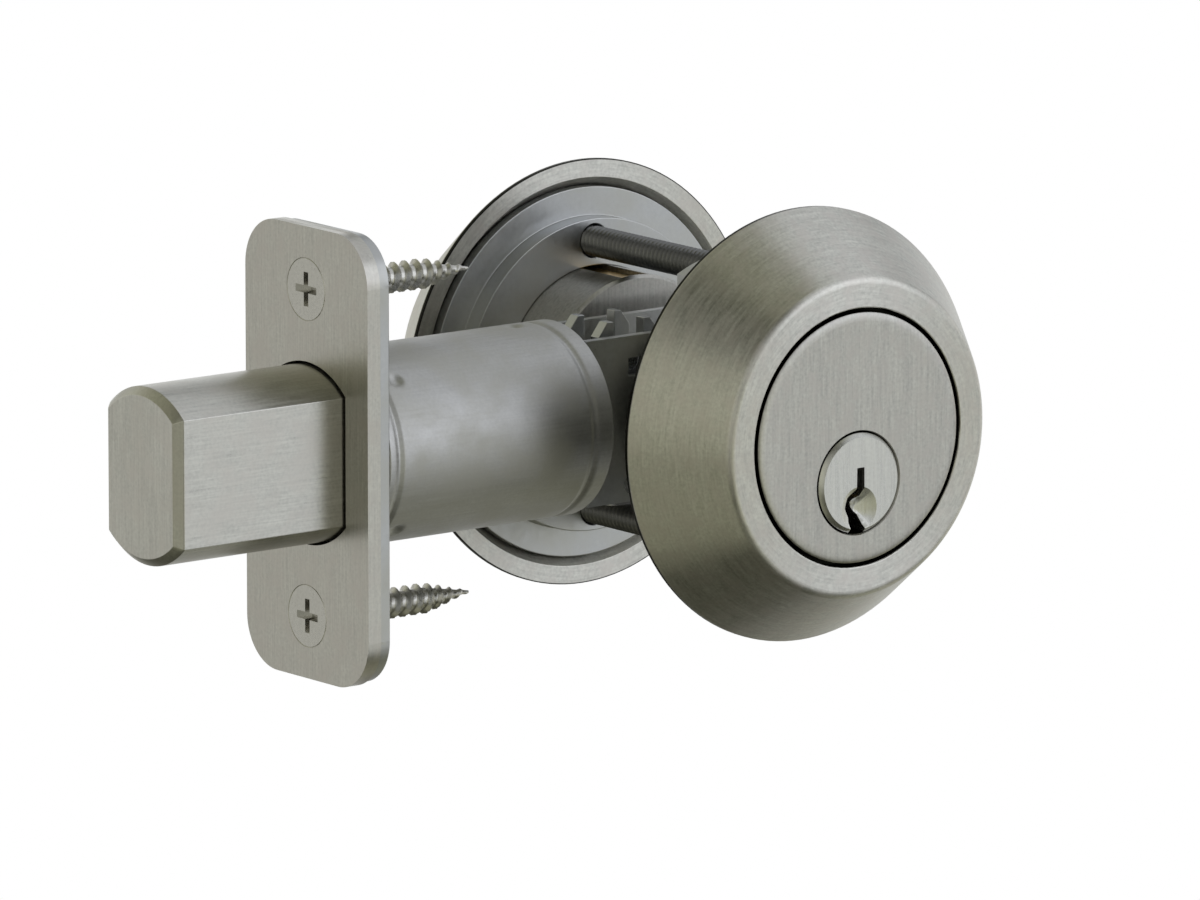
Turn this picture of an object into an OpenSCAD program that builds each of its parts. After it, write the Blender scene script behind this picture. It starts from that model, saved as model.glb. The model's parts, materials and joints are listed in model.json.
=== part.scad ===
// Double-cylinder deadbolt door lock, assembled as it sits in a door.
// The origin is the centre of the cross bore on the outside face of the door.
// -Y points outdoors, +Y indoors, +Z up, and the bolt leaves the door edge towards -X.
// At rest the bolt is thrown (locked).

/* [Door] */
// Thickness of the door leaf
door_t = 44.45; // [43.5:0.05:51]
// Distance from the door edge to the centre of the cross bore
backset = 60.325; // [60.325, 69.85]
// Radius of the cross bore that the trims cover
cross_bore_r = 20.64; // [20.62:0.01:21]

/* [Collar] */
// Diameter of the collar where it meets the door
collar_d = 55.2; // [54:0.1:58]
// Height of the collar off the door
collar_h = 11.9; // [11.5:0.1:13]
// Radius where the cone and the flat front would meet in a sharp corner
collar_corner_r = 20.15; // [19.8:0.05:21]
// Radius that rounds that corner
collar_edge_r = 1.3; // [0.6:0.1:1.6]
// Straight land at the foot of the cone
collar_land = 0.6; // [0.3:0.1:1]
// Diameter of the hole in the front of the collar
collar_hole_d = 32.86; // [32.5:0.02:33.4]
// Radial width of the back face that bears on the door
collar_foot_w = 2.4; // [2:0.1:2.8]

/* [Cylinder] */
// Diameter of the round face of the lock cylinder
face_d = 31.76; // [31.5:0.02:32]
// Thickness of the face flange
flange_t = 2.6; // [2.2:0.1:2.9]
// How far the face stands proud of the collar's front
face_proud = 0.15; // [0:0.05:0.4]
// Diameter of the cylinder body behind the flange
body_d = 28.4; // [28:0.1:28.4]
// Diameter of the plug
plug_d = 12.7; // [12.4:0.1:12.8]
// How far the plug's axis lies below the cylinder's axis
plug_drop = 5.7; // [5.5:0.05:5.8]
// How far the plug stands proud of the cylinder face
plug_proud = 0.45; // [0.1:0.05:0.5]
// Number of pin stacks
pin_count = 5; // [3:1:5]
// Distance between pin stacks
pin_pitch = 3.96; // [3.6:0.02:3.98]
// Distance from the cylinder face to the first pin stack
first_pin = 5.2; // [5:0.1:5.3]
// Radius of a pin
pin_r = 1.45; // [1.3:0.01:1.45]

/* [Bolt] */
// Travel of the bolt
throw = 25.4; // [20:0.1:25.4]
// Diameter of the rounded top and bottom of the bolt
bolt_d = 22.4; // [22:0.1:22.6]
// Thickness of the bolt between its flat sides
bolt_t = 15.5; // [15:0.1:15.8]
// Length of the bolt head
bolt_len = 34.5; // [33:0.1:34.6]
// Outer radius of the bolt tube
tube_r = 12.4; // [12.3:0.05:12.7]
// Radius of the crank pin that drives the bolt
crank_pin_r = 1.5; // [1.4:0.05:1.5]

/* [Faceplate] */
// Width of the faceplate
plate_w = 25.4; // [25:0.1:28]
// Height of the faceplate
plate_h = 57.15; // [56:0.05:60]
// Corner radius of the faceplate
plate_corner_r = 6.35; // [3:0.05:6.35]
// Distance between the two faceplate screws
plate_screw_gap = 41.3; // [41:0.1:42]

/* [Hidden] */
$fn = 96;
eps = 0.5; // how far a cutting shape runs past a surface
fit_gap = 0.05; // radial gap between pieces that turn or slide in each other
thread_gap = 0.02; // radial gap of a screw in its thread

nickel = "#b4b3a8";
steel = "#9a9c9e";
brass = "#b59a5a";
zinc = "#8c8f92";
spring_steel = "#6f7276";

// Collar
rim_r = collar_d / 2;
hole_r = collar_hole_d / 2;
cone_angle = atan2(collar_h - collar_land, rim_r - collar_corner_r);
edge_steps = 8;
hole_edge = 0.1;
foot_r = rim_r - collar_foot_w;
lip_front = collar_h + face_proud - flange_t;
lip_t = 1.5;
lip_back = lip_front - lip_t;
lip_r = body_d / 2 + 0.55;
lip_root_r = 19.8;
guard_r = 23;
guard_t = 2.6;
guard_edge = 0.5;
washer_r = 15.2;
washer_foot_r = 19.6;

// Cylinder
face_r = face_d / 2;
body_r = body_d / 2;
face_y = -collar_h - face_proud;
body_rear = 11.45;
body_edge = 0.4;
face_edge_w = 1.3;
face_edge_d = 0.25;
plug_r = plug_d / 2;
plug_bore_r = plug_r + fit_gap;
mouth_w = 0.28;
mouth_d = 0.5;
plug_front = face_y - plug_proud;
plug_rear = body_rear + 0.3;
chamber_r = pin_r + fit_gap;
chamber_top = 12.4;
cap_w = 4.2;
cap_t = 1;
cap_start = face_y + first_pin - 2;
cap_end = face_y + first_pin + (pin_count - 1) * pin_pitch + 2;
key_pin_top = plug_r - 0.25;
driver_pin_bottom = plug_r + 0.35 - plug_drop;
driver_pin_len = 5;
spring_bottom = driver_pin_bottom + driver_pin_len + 0.1;
spring_top = chamber_top - 0.1;
drill_pin_x = 3.4;
drill_pin_depth = 3.5;
drill_pin_r = 0.8;
drill_pin_len = 11.2;

// Keyway outline about the plug's axis, seen from the front of the lock
KEYWAY = [
    [-0.57, 2.0], [-0.62, -0.7], [-2.0, -1.65], [-2.33, -3.0], [-1.73, -4.2], [-1.82, -4.8],
    [-1.6, -5.6], [-1.6, -7.2], [0.9, -7.2], [0.76, -5.9], [0.34, -5.15], [-0.09, -4.0],
    [-1.12, -3.0], [-1.42, -2.3], [-0.94, -1.95], [0.09, -1.65], [0.6, -0.65], [0.57, 2.0]
];
dimple_r = 2.8;
dimple_depth = 1;
dimple_x = -0.25;
dimple_z = -3.2;

// Drive line
blade_w = 6;
blade_t = 1.8;
blade_gap = 0.25;
driver_r = 7;
driver_t = 2.5;
driver_screw_x = 4.9;
driver_screw_r = 0.9;
driver_screw_len = 4.8;
driver_head_r = 1.5;
driver_head_h = 0.8;
mid_y = door_t / 2;

// Fixing of the trims
screw_z = 17.4;
screw_r = 2;
screw_head_r = 2.95;
screw_head_h = 2.2;
recess_w = 4.2;
recess_t = 0.8;
recess_depth = 1.1;
boss_r = 2.85;
boss_front = 4;
bracket_w = 18;
bracket_t = 1.8;
bracket_screw_x = 6.2;
bracket_screw_y = 6.4;
bracket_screw_z = 5.2;
bracket_screw_r = 1.25;
bracket_head_r = 2.5;
bracket_head_h = 1.3;
bore_fit_r = cross_bore_r - 0.35;
mount_plate_t = 2;
mount_rim_r = 24;
mount_rim_t = 1.4;
spigot_h = 2.5;
skirt_r = 21.8;
skirt_t = 1.3;
skirt_h = 4.6;
set_screw_r = 1.5;
set_screw_y = -3;
set_screw_len = 3.6;
ring_seat_r = 13.6;
ring_r = 16.4;
ring_t = 0.9;
ring_gap = 5;

// Bolt unit
plate_t = 2;
back_t = 1.6;
back_inset = 0.3;
bolt_gap = 0.35;
plate_screw_r = 2;
plate_screw_neck_r = 2.2;
plate_screw_head_r = 4;
plate_screw_head_h = 1.9;
plate_screw_neck = plate_t + back_t + 0.4;
plate_screw_len = 25;
plate_screw_tip = 3;
tube_wall = 0.9;
tube_inner_r = tube_r - tube_wall;
tube_start = plate_t + back_t - backset;
tube_end = -21.5;
case_gap = 5.5;
case_t = 1.2;
case_outer = case_gap + case_t;
case_z = 10.6;
case_rear = 14.5;
case_front = -24.9;
neck_z = 9.3;
hub_r = 4.6;
journal_r = 4.15;
hub_w = case_gap - 0.3;
crank_r = throw / 2 / sin(45);
arm_t = 3.2;
arm_w = 4.6;
rivet_r = 1.2;
RIVETS = [[-14.5, -8.4], [12, -8.4], [-23.3, -6]];
WINDOWS = [-15, 5];
window_z = 5.4;
window_w = 9;
window_h = 2.4;
leaf_t = 0.5;
leaf_w = 12;
leaf_inset = 4;
bolt_edge = 1;
bolt_tip = -backset - throw;
bolt_rear = bolt_tip + bolt_len;
tail_inner = 2.2;
tail_outer = 3.8;
tail_low = 2.6;
tail_high = 9.4;
tail_mid = (tail_low + tail_high) / 2;
tail_rivet_x = [2.6, 6.4];
tail_embed = 8.8;
tail_slot_w = 2.4;
tail_slot_floor = 4.6;
ear_w = 4.8;
ear_top = 12;
ear_shoulder = 10.2;
pin_x = -throw / 2;
roller_z = -4.5;
roller_r = 2.5;
roller_bore_r = 2.56;
roller_front = bolt_tip + 2.7;
roller_rear = bolt_rear - 2.3;

// ---------- helpers ----------

// Turns a profile of [radius, y] points about the Y axis.
module turned_y() rotate([-90, 0, 0]) rotate_extrude() children();

// Turns a profile of [radius, x] points about the X axis.
module turned_x() rotate([0, 90, 0]) rotate_extrude() children();

// Extrudes an outline drawn in X and Z from y0 to y1.
module along_y(y0, y1) translate([0, y1, 0]) rotate([90, 0, 0]) linear_extrude(y1 - y0) children();

module rod_y(x, z, y0, y1, r) translate([x, y0, z]) rotate([-90, 0, 0]) cylinder(h = y1 - y0, r = r);

module rod_x(y, z, x0, x1, r) translate([x0, y, z]) rotate([0, 90, 0]) cylinder(h = x1 - x0, r = r);

// Puts a piece drawn for the outside trim on the inside of the door.
module on_inside() translate([0, door_t, 0]) rotate([0, 0, 180]) children();

// Puts a piece drawn about the bolt's centre plane in the middle of the door.
module in_door() translate([0, mid_y, 0]) children();

function pin_y(i) = face_y + first_pin + i * pin_pitch;

function arc(centre, r, from, to, steps) =
    [for (i = [0:steps]) centre + r * [cos(from + (to - from) * i / steps),
                                       sin(from + (to - from) * i / steps)]];

// ---------- trim: collar and rings ----------

function collar_profile() = concat(
    [[foot_r, 0], [rim_r, 0], [rim_r, -collar_land]],
    arc([collar_corner_r - collar_edge_r * tan(cone_angle / 2), collar_edge_r - collar_h],
        collar_edge_r, cone_angle - 90, -90, edge_steps),
    [[hole_r + hole_edge, -collar_h], [hole_r, hole_edge - collar_h], [hole_r, -lip_front],
     [lip_r, -lip_front], [lip_r, -lip_back], [lip_root_r, -lip_back]]
);

module collar() turned_y() polygon(collar_profile());

module outside_collar() color(nickel) collar();

module inside_collar() color(nickel) on_inside() difference() {
    collar();
    translate([0, set_screw_y, -rim_r]) cylinder(h = rim_r - lip_root_r, r = set_screw_r + thread_gap);
}

// Hardened ring under the collar. It covers the edge of the cross bore.
module outside_guard_ring() color(zinc) turned_y()
    polygon([[body_r + fit_gap, 0], [guard_r, 0], [guard_r, guard_edge - guard_t],
             [guard_r - guard_edge, -guard_t], [body_r + fit_gap, -guard_t]]);

// Coned spring washer that pushes the collar forward against the face flange
module outside_spring_washer() color(spring_steel) turned_y()
    polygon([[washer_r, -lip_back], [washer_r + 1, -lip_back],
             [washer_foot_r, -guard_t], [washer_foot_r - 1, -guard_t]]);

// Snap ring that keeps the inside cylinder in its collar
module inside_retaining_ring() color(spring_steel) on_inside() difference() {
    turned_y() translate([ring_seat_r, -lip_back]) square([ring_r - ring_seat_r, ring_t]);
    translate([-ring_gap / 2, -lip_back - eps, -ring_r - eps])
        cube([ring_gap, ring_t + 2 * eps, ring_r - ring_seat_r + 4 * eps]);
}

// ---------- trim: lock cylinder ----------

module pin_chambers(bottom, top)
    for (i = [0:pin_count - 1])
        translate([0, pin_y(i), bottom]) cylinder(h = top - bottom, r = chamber_r);

module anti_drill_places()
    for (x = [-1, 1]) translate([x * drill_pin_x, face_y + drill_pin_depth, 1]) children();

module cylinder_housing(ring_groove) difference() {
    turned_y() difference() {
        polygon(concat(
            [[0, face_y]],
            [for (i = [0:edge_steps])
                [face_r - face_edge_w * (1 - sin(90 * i / edge_steps)),
                 face_y + face_edge_d * (1 - cos(90 * i / edge_steps))]],
            [[face_r, -lip_front], [body_r, -lip_front], [body_r, body_rear - body_edge],
             [body_r - body_edge, body_rear], [0, body_rear]]
        ));
        if (ring_groove) translate([ring_seat_r - thread_gap, -lip_back]) square([2, ring_t + fit_gap]);
    }
    rod_y(0, -plug_drop, face_y - eps, body_rear + eps, plug_bore_r);
    translate([0, face_y - eps, -plug_drop]) rotate([-90, 0, 0])
        cylinder(h = eps + mouth_d, r1 = plug_bore_r + mouth_w * (1 + eps / mouth_d), r2 = plug_bore_r);
    pin_chambers(-plug_drop, chamber_top);
    translate([-cap_w / 2, cap_start, chamber_top]) cube([cap_w, cap_end - cap_start, 3]);
    anti_drill_places() cylinder(h = body_r, r = drill_pin_r);
    if (!ring_groove)
        for (x = [-1, 1])
            rod_y(x * bracket_screw_x, bracket_screw_z, bracket_screw_y - 0.4, body_rear + eps,
                  bracket_screw_r);
}

module anti_drill_pins() color(steel) anti_drill_places() cylinder(h = drill_pin_len, r = drill_pin_r);

module chamber_cap() color(brass) difference() {
    translate([-cap_w / 2, cap_start, chamber_top]) cube([cap_w, cap_end - cap_start, cap_t]);
    for (x = [-1, 1])
        rod_y(x * cap_w / 2, chamber_top + cap_t, cap_start + 3, cap_end - 3, 0.3);
}

module driver_pins() color(brass)
    for (i = [0:pin_count - 1]) translate([0, pin_y(i), driver_pin_bottom]) rotate_extrude()
        polygon([[0, 0], [pin_r - 0.2, 0], [pin_r, 0.2], [pin_r, 1.4], [pin_r - 0.35, 1.8],
                 [pin_r - 0.35, 3.2], [pin_r, 3.6], [pin_r, driver_pin_len - 0.2],
                 [pin_r - 0.2, driver_pin_len], [0, driver_pin_len]]);

module key_pins() color(brass)
    for (i = [0:pin_count - 1]) translate([0, pin_y(i), -plug_drop]) rotate_extrude()
        polygon([[0, 0.7], [0.5, 0.7], [pin_r, 1.8], [pin_r, key_pin_top - 0.15],
                 [pin_r - 0.15, key_pin_top], [0, key_pin_top]]);

// Closed helix of round wire standing on the XY plane
module coil_spring(r, wire_r, height, turns) {
    sides = 4;
    per_turn = 10;
    rings = turns * per_turn;
    rise = height - 2 * wire_r;
    points = [
        for (i = [0:rings])
            for (s = [0:sides - 1])
                let (turn = 360 * i / per_turn, around = 360 * s / sides,
                     reach = r + wire_r * cos(around))
                    [reach * cos(turn), reach * sin(turn),
                     wire_r + rise * i / rings + wire_r * sin(around)]
    ];
    skin = [
        for (i = [0:rings - 1])
            for (s = [0:sides - 1])
                let (a = i * sides + s, b = i * sides + (s + 1) % sides)
                    [a, b, b + sides, a + sides]
    ];
    ends = [
        [for (s = [0:sides - 1]) sides - 1 - s],
        [for (s = [0:sides - 1]) rings * sides + s]
    ];
    polyhedron(points = points, faces = concat(skin, ends), convexity = 6);
}

module pin_springs() color(spring_steel)
    for (i = [0:pin_count - 1]) translate([0, pin_y(i), spring_bottom])
        coil_spring(1.15, 0.2, spring_top - spring_bottom, 4);

module plug() color(nickel) difference() {
    translate([0, 0, -plug_drop]) difference() {
        turned_y() polygon([[0, plug_front], [plug_r - 0.5, plug_front], [plug_r, plug_front + 0.5],
                            [plug_r, plug_rear], [0, plug_rear]]);
        along_y(plug_front - eps, plug_rear + eps) polygon(KEYWAY);
        translate([dimple_x, plug_front - eps, dimple_z]) rotate([-90, 0, 0])
            cylinder(h = dimple_depth + eps, r1 = dimple_r * (1 + eps / dimple_depth), r2 = 0);
        for (x = [-1, 1])
            rod_y(x * driver_screw_x, 0, plug_rear - driver_screw_len - 0.2, plug_rear + eps,
                  driver_screw_r);
    }
    pin_chambers(-plug_drop, plug_r);
}

// Driver on the back of the plug. Its bow-tie slot lets the tailpiece lag a quarter turn.
module driver(side) color(zinc) translate([0, 0, -plug_drop]) difference() {
    rod_y(0, 0, plug_rear, plug_rear + driver_t, driver_r);
    along_y(plug_rear - eps, plug_rear + driver_t + eps) intersection() {
        circle(r = blade_w / 2 + blade_gap);
        union() {
            square([blade_t + 2 * blade_gap, 2 * blade_w], center = true);
            square([2 * blade_w, blade_t + 2 * blade_gap], center = true);
            scale([side, 1]) square(blade_w);
            scale([-side, 1]) translate([0, -blade_w]) square(blade_w);
        }
    }
    for (x = [-1, 1]) translate([x * driver_screw_x, 0, 0]) driver_screw();
}

module driver_screw() {
    rod_y(0, 0, plug_rear - driver_screw_len, plug_rear + driver_t, driver_screw_r);
    translate([0, plug_rear + driver_t - driver_head_h, 0]) rotate([-90, 0, 0])
        cylinder(h = driver_head_h, r1 = driver_screw_r, r2 = driver_head_r);
}

module driver_screws() color(steel)
    for (x = [-1, 1]) translate([x * driver_screw_x, 0, -plug_drop]) driver_screw();

module outside_cylinder_housing() color(nickel) cylinder_housing(false);
module outside_anti_drill_pins() anti_drill_pins();
module outside_chamber_cap() chamber_cap();
module outside_driver_pins() driver_pins();
module outside_pin_springs() pin_springs();
module outside_plug() plug();
module outside_key_pins() key_pins();
module outside_driver() driver(1);
module outside_driver_screws() driver_screws();

module inside_cylinder_housing() color(nickel) on_inside() cylinder_housing(true);
module inside_anti_drill_pins() on_inside() anti_drill_pins();
module inside_chamber_cap() on_inside() chamber_cap();
module inside_driver_pins() on_inside() driver_pins();
module inside_pin_springs() on_inside() pin_springs();
module inside_plug() on_inside() plug();
module inside_key_pins() on_inside() key_pins();
module inside_driver() on_inside() driver(-1);
module inside_driver_screws() on_inside() driver_screws();

// ---------- fixing of the trims ----------

// Bridge on the back of the outside cylinder, with the two bosses that take the long screws
module outside_bracket() color(zinc) difference() {
    union() {
        along_y(body_rear, body_rear + bracket_t) intersection() {
            circle(r = bore_fit_r);
            square([bracket_w, 2 * cross_bore_r], center = true);
        }
        for (z = [-1, 1]) rod_y(0, z * screw_z, boss_front, body_rear + eps, boss_r);
    }
    rod_y(0, -plug_drop, body_rear - eps, body_rear + bracket_t + eps, driver_r + 0.5);
    for (z = [-1, 1])
        rod_y(0, z * screw_z, boss_front - eps, body_rear + bracket_t + eps, screw_r + thread_gap);
    for (x = [-1, 1])
        rod_y(x * bracket_screw_x, bracket_screw_z, body_rear - eps, body_rear + bracket_t + eps,
              bracket_screw_r + fit_gap);
}

module bracket_screws() color(steel) for (x = [-1, 1]) difference() {
    translate([x * bracket_screw_x, 0, bracket_screw_z]) {
        rod_y(0, 0, bracket_screw_y, body_rear + bracket_t, bracket_screw_r);
        turned_y() translate([0, body_rear + bracket_t])
            polygon([[0, 0], [bracket_head_r, 0], [bracket_head_r, bracket_head_h - 0.4],
                     [bracket_head_r - 0.6, bracket_head_h], [0, bracket_head_h]]);
    }
    translate([x * bracket_screw_x, body_rear + bracket_t + bracket_head_h, bracket_screw_z])
        cube([2 * bracket_head_r - 1, bracket_head_h, 0.6], center = true);
}

// Plate on the inside face of the door. The long screws pull it towards the outside bracket.
module inside_mounting_plate() color(zinc) on_inside() difference() {
    turned_y() polygon([
        [body_r + fit_gap, spigot_h], [bore_fit_r, spigot_h], [bore_fit_r, 0], [mount_rim_r, 0],
        [mount_rim_r, -mount_rim_t], [skirt_r, -mount_rim_t], [skirt_r, -skirt_h],
        [skirt_r - skirt_t, -skirt_h], [skirt_r - skirt_t, -mount_plate_t],
        [body_r + fit_gap, -mount_plate_t]
    ]);
    for (z = [-1, 1]) rod_y(0, z * screw_z, -mount_plate_t - eps, spigot_h + eps, screw_r + 0.2);
}

module mounting_screws() color(steel) on_inside() for (z = [-1, 1]) difference() {
    translate([0, 0, z * screw_z]) {
        rod_y(0, 0, -mount_plate_t, door_t - boss_front - 1, screw_r);
        turned_y() translate([0, -mount_plate_t])
            polygon([[0, -screw_head_h], [screw_head_r - 0.5, -screw_head_h],
                     [screw_head_r, 0.5 - screw_head_h], [screw_head_r, 0], [0, 0]]);
    }
    for (turn = [0, 90])
        translate([0, -mount_plate_t - screw_head_h, z * screw_z]) rotate([0, turn, 0])
            cube([recess_w - 1, 2 * recess_depth, recess_t], center = true);
}

module collar_set_screw() color(steel) on_inside() difference() {
    translate([0, set_screw_y, -skirt_r - set_screw_len]) cylinder(h = set_screw_len, r = set_screw_r);
    translate([0, set_screw_y, -skirt_r - set_screw_len - eps])
        cylinder(h = 1.5 + eps, r = 0.85, $fn = 6);
}

module tailpiece() color(steel) translate([-blade_t / 2, plug_rear + 0.4, -plug_drop - blade_w / 2])
    cube([blade_t, door_t - 2 * (plug_rear + 0.4), blade_w]);

// ---------- bolt unit: fixed parts ----------

// Rounded rectangle on its edge, centred, from x0 to x1
module face_blank(w, h, r, x0, x1) translate([x0, 0, 0]) {
    translate([0, -w / 2, r - h / 2]) cube([x1 - x0, w, h - 2 * r]);
    translate([0, r - w / 2, -h / 2]) cube([x1 - x0, w - 2 * r, h]);
    for (y = [-1, 1]) for (z = [-1, 1]) rod_x(y * (w / 2 - r), z * (h / 2 - r), 0, x1 - x0, r);
}

// Outline of the bolt, grown by a gap, from x0 to x1
module bolt_bar(gap, x0, x1) intersection() {
    rod_x(0, 0, x0, x1, bolt_d / 2 + gap);
    translate([x0 - eps, -bolt_t / 2 - gap, -bolt_d])
        cube([x1 - x0 + 2 * eps, bolt_t + 2 * gap, 2 * bolt_d]);
}

// Flush wood screw: countersunk head, neck through both plates, shank and point
module plate_screw() turned_x() polygon([
    [0, -backset], [plate_screw_head_r, -backset], [plate_screw_neck_r, plate_screw_head_h - backset],
    [plate_screw_neck_r, plate_screw_neck - backset], [plate_screw_r, plate_screw_neck - backset],
    [plate_screw_r, plate_screw_len - plate_screw_tip - backset], [0.3, plate_screw_len - backset],
    [0, plate_screw_len - backset]
]);

// Countersunk hole for it through both plates
module plate_screw_hole() turned_x() polygon([
    [0, -backset - eps], [plate_screw_head_r, -backset - eps], [plate_screw_head_r, -backset],
    [plate_screw_neck_r, plate_screw_head_h - backset],
    [plate_screw_neck_r + fit_gap, plate_screw_head_h - backset],
    [plate_screw_neck_r + fit_gap, plate_screw_neck - backset], [0, plate_screw_neck - backset]
]);

module at_plate_screws() for (z = [-1, 1]) translate([0, 0, z * plate_screw_gap / 2]) children();

module faceplate() color(nickel) in_door() difference() {
    face_blank(plate_w, plate_h, plate_corner_r, -backset, plate_t - backset);
    bolt_bar(bolt_gap, -backset - eps, plate_t - backset + eps);
    at_plate_screws() plate_screw_hole();
}

module back_plate() color(zinc) in_door() difference() {
    face_blank(plate_w - 2 * back_inset, plate_h - 2 * back_inset, plate_corner_r - back_inset,
               plate_t - backset, tube_start);
    bolt_bar(bolt_gap, plate_t - backset - eps, tube_start + eps);
    at_plate_screws() plate_screw_hole();
}

module faceplate_screws() color(nickel) in_door() at_plate_screws() difference() {
    plate_screw();
    for (turn = [0, 90]) translate([-backset, 0, 0]) rotate([turn, 0, 0])
        cube([2 * recess_depth, recess_w, recess_t], center = true);
}

module bolt_tube() color(zinc) in_door() turned_x()
    polygon([[tube_inner_r, tube_start], [tube_r, tube_start], [tube_r, tube_end - 0.3],
             [tube_r - 0.3, tube_end], [tube_inner_r, tube_end]]);

module case_plate() color(zinc) difference() {
    along_y(case_gap, case_outer) polygon([
        [case_front, -neck_z], [tube_end, -neck_z], [tube_end, -case_z], [case_rear - 3, -case_z],
        [case_rear, 3 - case_z], [case_rear, case_z - 3], [case_rear - 3, case_z],
        [tube_end, case_z], [tube_end, neck_z], [case_front, neck_z]
    ]);
    rod_y(0, -plug_drop, 0, 2 * case_outer, journal_r + 0.05);
    for (p = RIVETS) rod_y(p[0], p[1], 0, 2 * case_outer, rivet_r);
    for (x = WINDOWS) translate([x, 0, window_z]) cube([window_w, 2 * case_outer, window_h]);
}

module inside_case_plate() in_door() case_plate();
module outside_case_plate() in_door() mirror([0, 1, 0]) case_plate();

module case_block() color(zinc) in_door() difference() {
    translate([case_front, -case_gap, -neck_z + 0.3])
        cube([tube_end - case_front, 2 * case_gap, tail_low - 0.8 + neck_z - 0.3]);
    rod_y(RIVETS[2][0], RIVETS[2][1], -case_outer, case_outer, rivet_r);
}

module case_rivets() color(steel) in_door()
    for (p = RIVETS) rod_y(p[0], p[1], -case_outer, case_outer, rivet_r);

// Leaf across the lower edges of the case plates, under the hub
module detent_spring() color(spring_steel) in_door()
    translate([tube_end + leaf_inset, -leaf_w / 2, -case_z - leaf_t])
        cube([case_rear - tube_end - 2 * leaf_inset, leaf_w, leaf_t]);

// ---------- bolt unit: moving parts ----------

// Hub with its crank arm, drawn at -45 degrees from upright
module bolt_hub() color(zinc) in_door() translate([0, 0, -plug_drop]) difference() {
    union() {
        rod_y(0, 0, -hub_w, hub_w, hub_r);
        rod_y(0, 0, -case_outer, case_outer, journal_r);
        rotate([0, -45, 0]) {
            translate([-arm_w / 2, -arm_t / 2, 0]) cube([arm_w, arm_t, crank_r]);
            rod_y(0, crank_r, -arm_t / 2, arm_t / 2, arm_w / 2);
        }
    }
    rotate([0, -45, 0]) rod_y(0, crank_r, -arm_t, arm_t, crank_pin_r);
    cube([blade_t + 0.2, 4 * hub_w, blade_w + 0.2], center = true);
}

module crank_pin() color(steel) in_door() translate([0, 0, -plug_drop]) rotate([0, -45, 0])
    rod_y(0, crank_r, -tail_outer - 0.1, tail_outer + 0.1, crank_pin_r);

module bolt_head() color(nickel) in_door() difference() {
    intersection() {
        turned_x() polygon([[0, bolt_tip], [bolt_d / 2 - bolt_edge, bolt_tip],
                            [bolt_d / 2, bolt_tip + bolt_edge], [bolt_d / 2, bolt_rear], [0, bolt_rear]]);
        translate([0, 0, -bolt_d]) linear_extrude(2 * bolt_d)
            polygon([[bolt_tip, bolt_edge - bolt_t / 2], [bolt_tip + bolt_edge, -bolt_t / 2],
                     [bolt_rear + eps, -bolt_t / 2], [bolt_rear + eps, bolt_t / 2],
                     [bolt_tip + bolt_edge, bolt_t / 2], [bolt_tip, bolt_t / 2 - bolt_edge]]);
    }
    for (side = [-1, 1])
        translate([bolt_rear, side * (tail_inner + tail_outer) / 2, tail_mid])
            cube([2 * tail_embed, tail_outer - tail_inner, tail_high - tail_low], center = true);
    tail_rivet_rods();
    rod_x(0, roller_z, roller_front - 0.2, bolt_rear + eps, roller_bore_r);
}

module tail_rivet_rods()
    for (x = tail_rivet_x) rod_y(bolt_rear - x, tail_mid, -bolt_t / 2, bolt_t / 2, rivet_r);

module tail_rivets() color(steel) in_door() tail_rivet_rods();

// Two plates riveted in the back of the bolt, with the open slot that the crank pin runs in
module bolt_tail() color(zinc) in_door() difference() {
    for (side = [-1, 1]) translate([0, side * (tail_inner + tail_outer) / 2, 0])
        along_y((tail_inner - tail_outer) / 2, (tail_outer - tail_inner) / 2) polygon([
            [bolt_rear - tail_embed, tail_low], [pin_x + ear_w, tail_low],
            [pin_x + ear_w, ear_shoulder], [pin_x + tail_slot_w + 1, ear_top],
            [pin_x + tail_slot_w, ear_top], [pin_x + tail_slot_w, tail_slot_floor],
            [pin_x - tail_slot_w, tail_slot_floor], [pin_x - tail_slot_w, ear_top],
            [pin_x - tail_slot_w - 1, ear_top], [pin_x - ear_w, ear_shoulder],
            [pin_x - ear_w, tail_high], [bolt_rear - tail_embed, tail_high]
        ]);
    tail_rivet_rods();
}

module anti_saw_roller() color(steel) in_door() rod_x(0, roller_z, roller_front, roller_rear, roller_r);

module roller_plug() color(steel) in_door()
    rod_x(0, roller_z, roller_rear + 0.3, bolt_rear, roller_bore_r);

// ---------- parts ----------

outside_collar();
outside_guard_ring();
outside_spring_washer();
outside_cylinder_housing();
outside_anti_drill_pins();
outside_chamber_cap();
outside_driver_pins();
outside_pin_springs();
outside_plug();
outside_key_pins();
outside_driver();
outside_driver_screws();
outside_bracket();
bracket_screws();
inside_collar();
collar_set_screw();
inside_retaining_ring();
inside_cylinder_housing();
inside_anti_drill_pins();
inside_chamber_cap();
inside_driver_pins();
inside_pin_springs();
inside_plug();
inside_key_pins();
inside_driver();
inside_driver_screws();
inside_mounting_plate();
mounting_screws();
tailpiece();
faceplate();
back_plate();
faceplate_screws();
bolt_tube();
outside_case_plate();
inside_case_plate();
case_block();
case_rivets();
detent_spring();
bolt_hub();
crank_pin();
bolt_head();
bolt_tail();
tail_rivets();
anti_saw_roller();
roller_plug();
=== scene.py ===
import json
import math

import bmesh
import bpy
from mathutils import Matrix, Vector


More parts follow.
